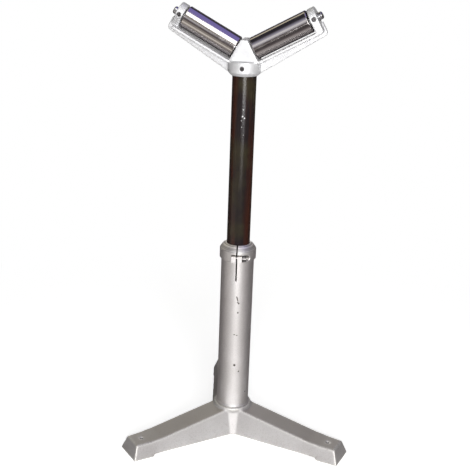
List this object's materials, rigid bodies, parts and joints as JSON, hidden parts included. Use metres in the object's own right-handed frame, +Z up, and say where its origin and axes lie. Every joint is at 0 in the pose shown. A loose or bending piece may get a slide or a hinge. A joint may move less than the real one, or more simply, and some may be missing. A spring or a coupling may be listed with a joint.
{
  "type": "v-head roller stand",
  "caption": "Floor stand with a cast tripod base, a clamped column, a sliding mast and a V yoke whose angled rollers carry pipe or bar.",
  "frame": {"origin": "on the floor, under the middle of the stand's outline", "axes": "+Z up along the column, -Y to the front between the two front legs, +X to the right seen from the front"},
  "size_m": [0.4824, 0.4178, 0.9211],
  "materials": {
    "grey_paint": "silver-grey hammered enamel on cast iron",
    "dark_polished_steel": "dark polished tube",
    "cast_aluminium": "bright silver-painted casting",
    "polished_steel": "mirror polished",
    "bearing_steel": "ground",
    "zinc_steel": "zinc plated",
    "dark_screw": "black oxide"
  },
  "bodies": {
    "base": {"base_casting": "grey_paint", "outer_column": "grey_paint"},
    "clamp_screw": {"clamp_screw": "dark_screw"},
    "mast": {"mast_tube": "dark_polished_steel"},
    "head": {"head_casting": "cast_aluminium", "head_set_screw": "dark_screw", "left_axle": "bearing_steel", "left_inner_bearing_inner_ring": "bearing_steel", "left_outer_bearing_inner_ring": "bearing_steel", "left_inner_spacer": "zinc_steel", "left_outer_spacer": "zinc_steel", "left_lug_set_screw": "dark_screw", "right_axle": "bearing_steel", "right_inner_bearing_inner_ring": "bearing_steel", "right_outer_bearing_inner_ring": "bearing_steel", "right_inner_spacer": "zinc_steel", "right_outer_spacer": "zinc_steel", "right_lug_set_screw": "dark_screw"},
    "left_roller": {"left_roller": "polished_steel", "left_inner_bearing_outer_ring": "bearing_steel", "left_outer_bearing_outer_ring": "bearing_steel"},
    "right_roller": {"right_roller": "polished_steel", "right_inner_bearing_outer_ring": "bearing_steel", "right_outer_bearing_outer_ring": "bearing_steel"},
    "left_cages": {"left_inner_ball_cage": "bearing_steel", "left_outer_ball_cage": "bearing_steel"},
    "right_cages": {"right_inner_ball_cage": "bearing_steel", "right_outer_ball_cage": "bearing_steel"}
  },
  "joints": [
    {"name": "clamp_screw_turn", "type": "hinge", "parent": "base", "child": "clamp_screw", "pos_m": [-0.00416, -0.08499, 0.4098], "axis": [0.9925, -0.1219, 0], "range_deg": [0, 270]},
    {"name": "mast_slide", "type": "slide", "parent": "base", "child": "mast", "axis": [0, 0, 1], "range_m": [-0.342, 0.015]},
    {"name": "head_swivel", "type": "hinge", "parent": "mast", "child": "head", "pos_m": [0, -0.05114, 0.7833], "axis": [0, 0, 1], "continuous": true},
    {"name": "left_roller_spin", "type": "hinge", "parent": "head", "child": "left_roller", "pos_m": [0, -0.05114, 0.8273], "axis": [-0.8508, 0.22, 0.4772], "continuous": true},
    {"name": "right_roller_spin", "type": "hinge", "parent": "head", "child": "right_roller", "pos_m": [0, -0.05114, 0.8273], "axis": [0.8508, -0.22, 0.4772], "continuous": true},
    {"name": "left_cage_spin", "type": "hinge", "parent": "head", "child": "left_cages", "pos_m": [0, -0.05114, 0.8273], "axis": [-0.8508, 0.22, 0.4772], "continuous": true},
    {"name": "right_cage_spin", "type": "hinge", "parent": "head", "child": "right_cages", "pos_m": [0, -0.05114, 0.8273], "axis": [0.8508, -0.22, 0.4772], "continuous": true}
  ],
  "couplings": [
    {"joint": "left_cage_spin", "follows": "left_roller_spin", "ratio": 0.6166},
    {"joint": "right_cage_spin", "follows": "right_roller_spin", "ratio": 0.6166}
  ]
}
